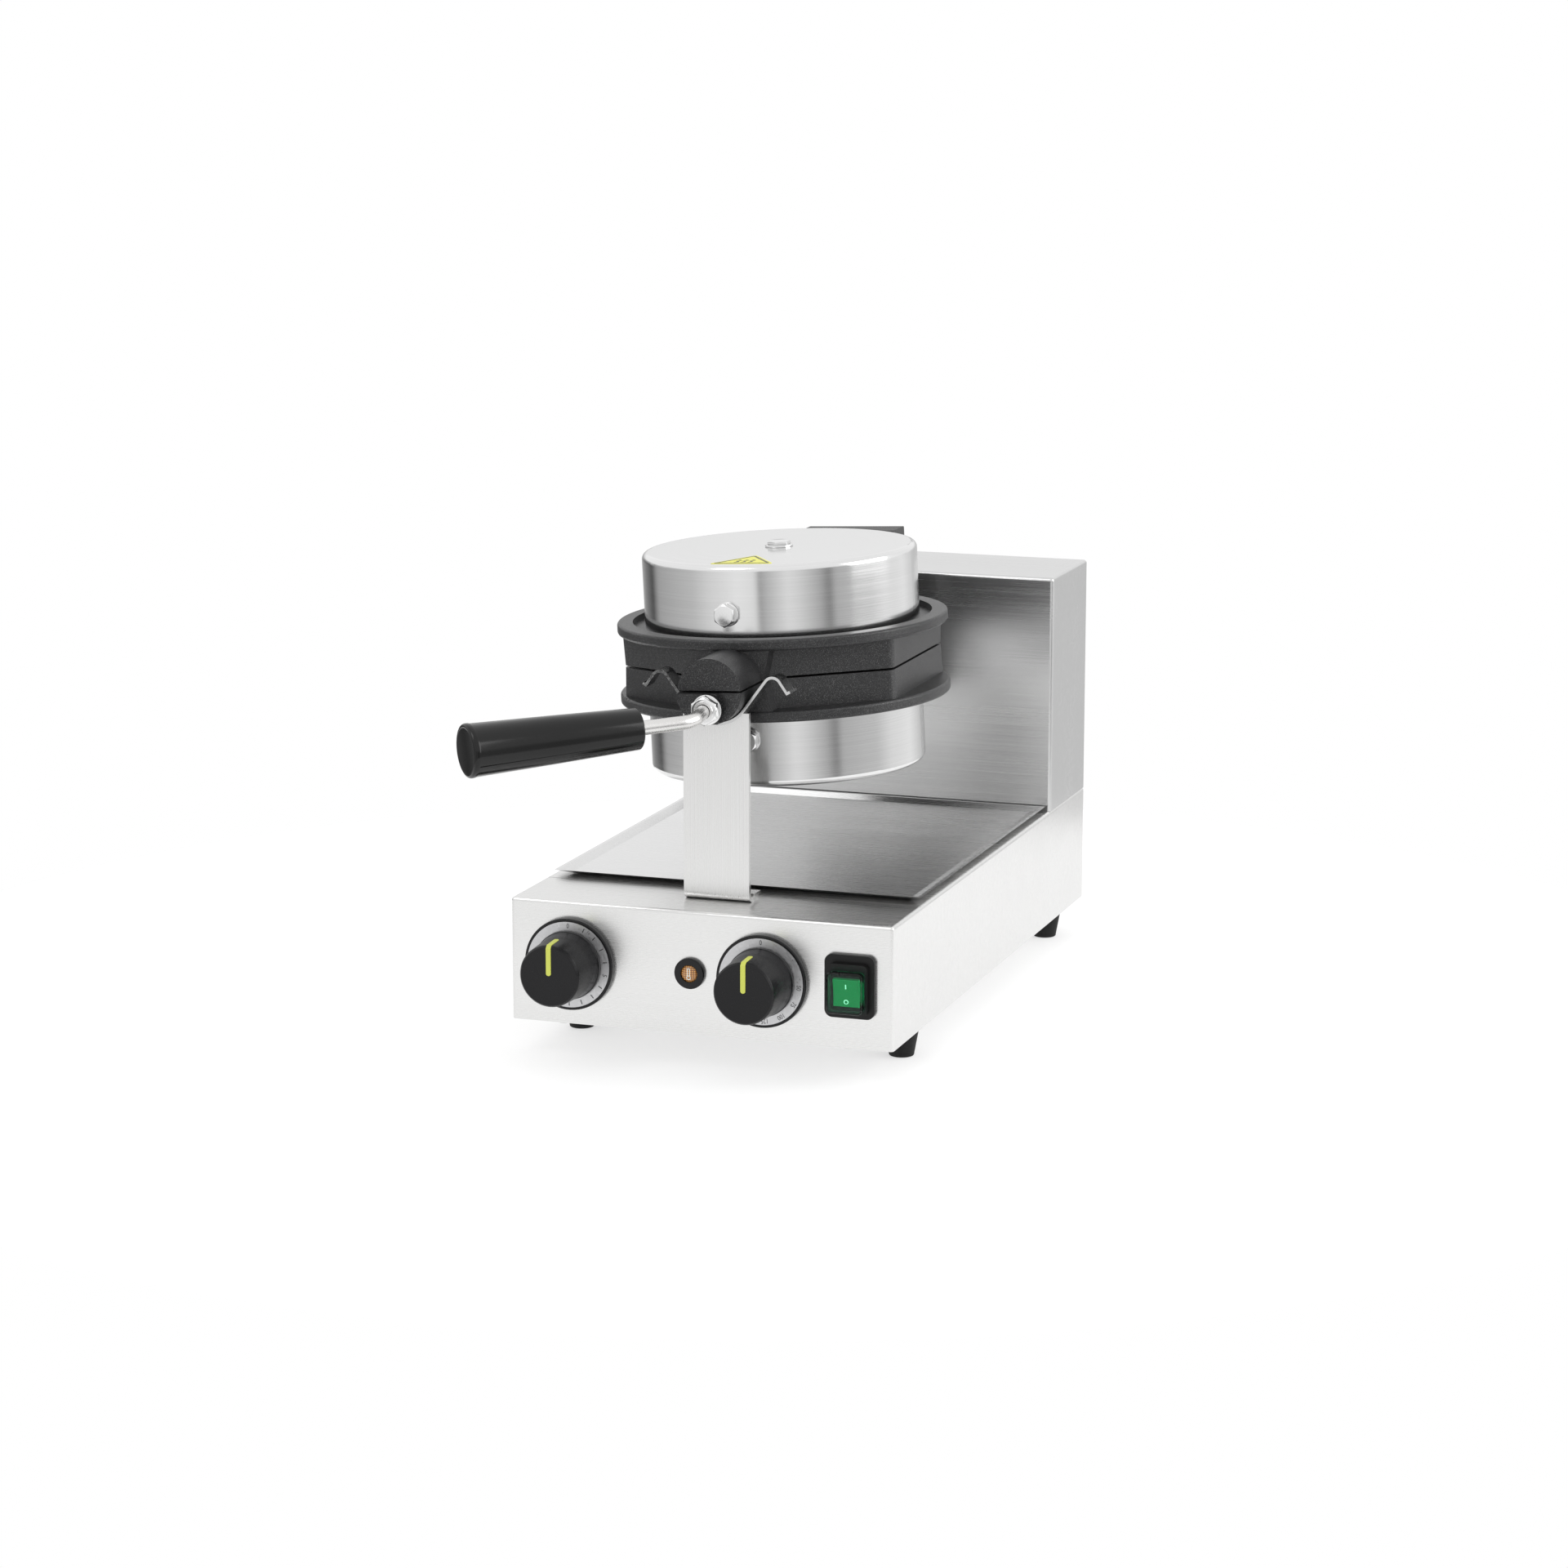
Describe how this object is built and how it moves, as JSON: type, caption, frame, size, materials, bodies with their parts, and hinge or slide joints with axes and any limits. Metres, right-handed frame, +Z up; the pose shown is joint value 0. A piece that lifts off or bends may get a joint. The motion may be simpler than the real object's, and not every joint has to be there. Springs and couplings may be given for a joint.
{
  "type": "rotating waffle maker",
  "caption": "Countertop rotating waffle maker: steel base with two control knobs, rear tower, front cradle and a round hinged iron that turns over on a horizontal axis.",
  "frame": {"origin": "middle of the footprint's bounding rectangle, handle included, on the table that the feet stand on", "axes": "+X to the object's right, +Y from the front panel to the rear, +Z up"},
  "size_m": [0.25, 0.5764, 0.3081],
  "materials": {
    "brushed_steel": "fine horizontal brushing",
    "tray_steel": "brushed, loose tray",
    "drum_steel": "brushed around the drum",
    "casting": "dark rough speckled casting",
    "plated_steel": "bright zinc plated",
    "bronze": "machined bronze",
    "element_sheath": "heat-darkened sheath",
    "mineral_wool": "fibrous wool",
    "foot_rubber": "matt black rubber",
    "grip_plastic": "glossy black moulding",
    "knob_plastic": "satin black moulding",
    "pointer_paint": "yellow-green inlay",
    "bezel_plastic": "satin black moulding",
    "dial_metal": "brushed silver scale with black marks",
    "control_plastic": "plain moulding",
    "lamp_amber": "amber faceted lens",
    "switch_plastic": "satin black moulding",
    "cover_green": "clear green splash cover",
    "rocker_green": null,
    "wire_insulation": "sleeved wires"
  },
  "bodies": {
    "base": {"base_shell": "brushed_steel", "bottom_plate": "brushed_steel", "foot_front_left": "foot_rubber", "foot_front_right": "foot_rubber", "foot_rear_left": "foot_rubber", "foot_rear_right": "foot_rubber", "foot_screws": "plated_steel", "plate_screws": "plated_steel", "cable_gland": "bezel_plastic", "tower_shell": "brushed_steel", "tower_rear_cover": "brushed_steel", "cover_screws": "plated_steel", "bearing_stand": "plated_steel", "bearing_block": "casting", "bearing_bush": "bronze", "front_bracket": "brushed_steel", "bracket_screws": "plated_steel", "cradle_spring": "plated_steel", "timer_bezel": "bezel_plastic", "timer_dial": "dial_metal", "timer_body": "control_plastic", "thermostat_bezel": "bezel_plastic", "thermostat_dial": "dial_metal", "thermostat_body": "control_plastic", "lamp_bezel": "bezel_plastic", "lamp_lens": "lamp_amber", "switch_housing": "switch_plastic", "switch_cover": "cover_green", "terminal_block": "control_plastic", "wiring_loom": "wire_insulation"},
    "drip_tray": {"drip_tray": "tray_steel"},
    "turning_iron": {"rotor_yoke": "brushed_steel", "stop_collar": "plated_steel", "upper_hinge_pin": "plated_steel", "lower_hinge_pin": "plated_steel", "lower_baking_plate": "casting", "lower_heating_element": "element_sheath", "lower_element_clamp": "plated_steel", "lower_insulation": "mineral_wool", "lower_drum_cover": "drum_steel", "lower_cover_bolt": "plated_steel", "lower_side_bolt": "plated_steel", "thermostat_bulb": "element_sheath", "handle_rod": "plated_steel", "handle_nut": "plated_steel", "handle_grip": "grip_plastic"},
    "upper_half": {"upper_baking_plate": "casting", "upper_heating_element": "element_sheath", "upper_element_clamp": "plated_steel", "upper_insulation": "mineral_wool", "upper_drum_cover": "drum_steel", "upper_cover_bolt": "plated_steel", "upper_side_bolt": "plated_steel"},
    "timer_knob": {"timer_knob": "knob_plastic", "timer_pointer": "pointer_paint", "timer_shaft": "plated_steel"},
    "thermostat_knob": {"thermostat_knob": "knob_plastic", "thermostat_pointer": "pointer_paint", "thermostat_shaft": "plated_steel"},
    "rocker": {"switch_rocker": "rocker_green"}
  },
  "joints": [
    {"name": "iron_rotation", "type": "hinge", "parent": "base", "child": "turning_iron", "pos_m": [0, -0.0028, 0.234], "axis": [0, -1, 0], "range_deg": [-185.6, 0]},
    {"name": "iron_opening", "type": "hinge", "parent": "turning_iron", "child": "upper_half", "pos_m": [-0.00225, 0.1212, 0.27994], "axis": [-0.9988, 0, -0.0488], "range_deg": [0, 105]},
    {"name": "timer_turn", "type": "hinge", "parent": "base", "child": "timer_knob", "pos_m": [-0.0852, -0.1828, 0.0608], "axis": [0, 1, 0], "range_deg": [0, 237]},
    {"name": "thermostat_turn", "type": "hinge", "parent": "base", "child": "thermostat_knob", "pos_m": [0.0414, -0.1828, 0.0603], "axis": [0, 1, 0], "range_deg": [0, 256]},
    {"name": "rocker_tip", "type": "hinge", "parent": "base", "child": "rocker", "pos_m": [0.0976, -0.1662, 0.0593], "axis": [1, 0, 0], "range_deg": [-12, 0]},
    {"name": "tray_slide", "type": "slide", "parent": "base", "child": "drip_tray", "axis": [1, 0, 0], "range_m": [0, 0.25]}
  ]
}
